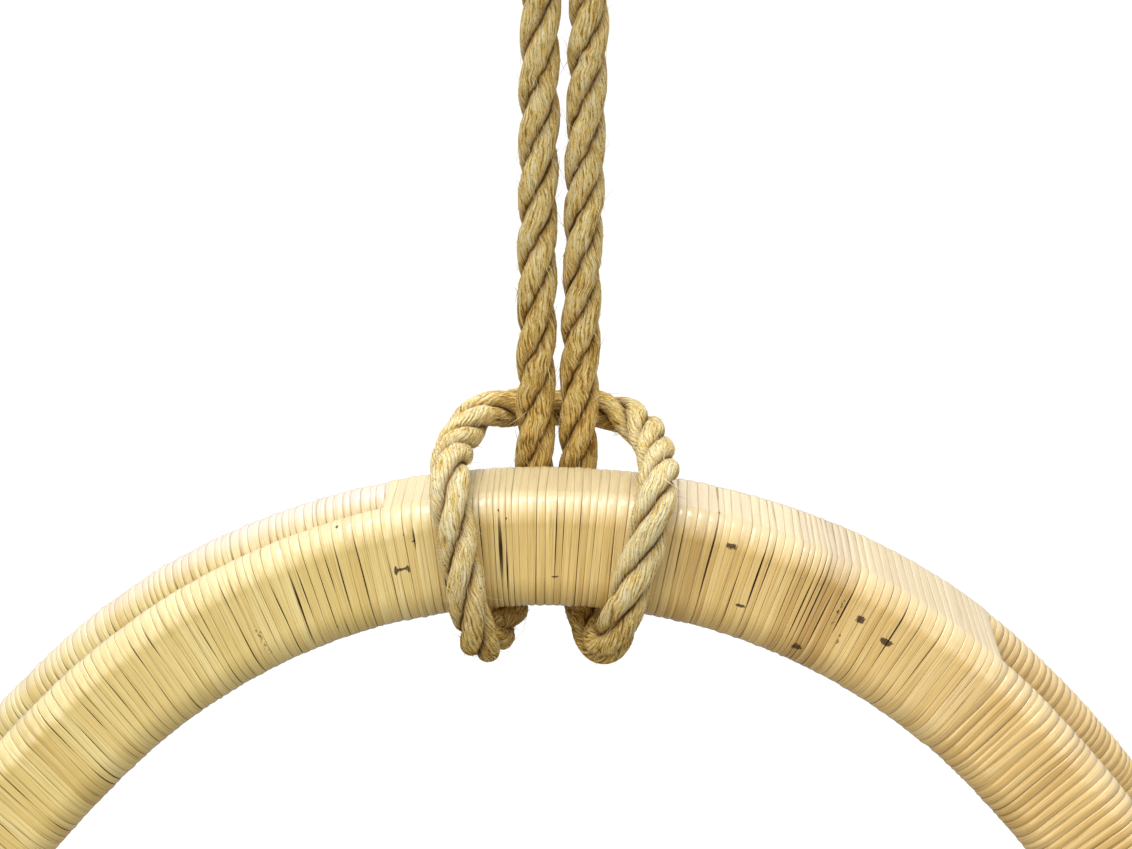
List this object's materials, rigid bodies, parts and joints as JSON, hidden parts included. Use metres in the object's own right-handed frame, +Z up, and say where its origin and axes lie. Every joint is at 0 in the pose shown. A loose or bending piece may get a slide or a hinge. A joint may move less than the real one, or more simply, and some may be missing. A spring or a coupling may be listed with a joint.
{
  "type": "hanging chair frame",
  "caption": "Cane-wrapped double-hoop hanging chair slung on one hitched rope from a ceiling swivel and snap hook.",
  "frame": {"origin": "centre of the ceiling plate's mounting face", "axes": "+Z up out of the ceiling face, +Y to the back of the chair, +X across it"},
  "size_m": [0.8864, 0.538, 1.6454],
  "materials": {
    "cane": "split cane, glossy skin outwards",
    "rattan": "rattan pole, satin skin",
    "rope": "three-strand natural fibre",
    "twine": "tight turns of tarred twine",
    "steel": "satin steel",
    "nail": "dull wire nails",
    "brass": "turned"
  },
  "bodies": {
    "ceiling": {"ceiling_plate": "steel", "swivel_housing": "steel", "thrust_washer": "brass"},
    "swivel": {"swivel_eye": "steel", "swivel_nut": "steel"},
    "hook": {"snap_hook": "steel", "gate_pin": "steel"},
    "gate": {"snap_hook_gate": "steel"},
    "chair": {"back_rail_1": "rattan", "back_rail_2": "rattan", "back_rail_3": "rattan", "back_rail_4": "rattan", "back_spindle_1": "rattan", "back_spindle_2": "rattan", "back_spindle_3": "rattan", "back_spindle_4": "rattan", "back_spindle_5": "rattan", "back_spindle_6": "rattan", "back_spindle_7": "rattan", "back_spindle_8": "rattan", "back_spindle_9": "rattan", "crown_binding": "cane", "crown_packing": "cane", "front_hoop_wrap": "cane", "front_inner_pole": "rattan", "front_outer_pole": "rattan", "rail_nails": "nail", "rear_hoop_wrap": "cane", "rear_inner_pole": "rattan", "rear_outer_pole": "rattan", "rope_seizing": "twine", "rope_thimble": "steel", "seat_stave_01": "rattan", "seat_stave_02": "rattan", "seat_stave_03": "rattan", "seat_stave_04": "rattan", "seat_stave_05": "rattan", "seat_stave_06": "rattan", "seat_stave_07": "rattan", "seat_stave_08": "rattan", "seat_stave_09": "rattan", "seat_stave_10": "rattan", "seat_stave_11": "rattan", "seat_stave_12": "rattan", "seat_stave_13": "rattan", "spindle_nails": "nail", "stave_nails": "nail", "suspension_rope": "rope"}
  },
  "joints": [
    {"name": "swivel_turn", "type": "hinge", "parent": "ceiling", "child": "swivel", "pos_m": [0, 0, -0.03], "axis": [0, 0, 1], "continuous": true},
    {"name": "hook_swing", "type": "hinge", "parent": "swivel", "child": "hook", "pos_m": [0, 0, -0.0789], "axis": [1, 0, 0], "range_deg": [-25, 25]},
    {"name": "gate_open", "type": "hinge", "parent": "hook", "child": "gate", "pos_m": [0, 0.02, -0.1275], "axis": [1, 0, 0], "range_deg": [0, 25], "stiffness_Nm_per_rad": 0.25, "springref_deg": -20.05},
    {"name": "chair_sway", "type": "hinge", "parent": "hook", "child": "chair", "pos_m": [0, 0, -0.1545], "axis": [0, 1, 0], "range_deg": [-20, 20]}
  ]
}
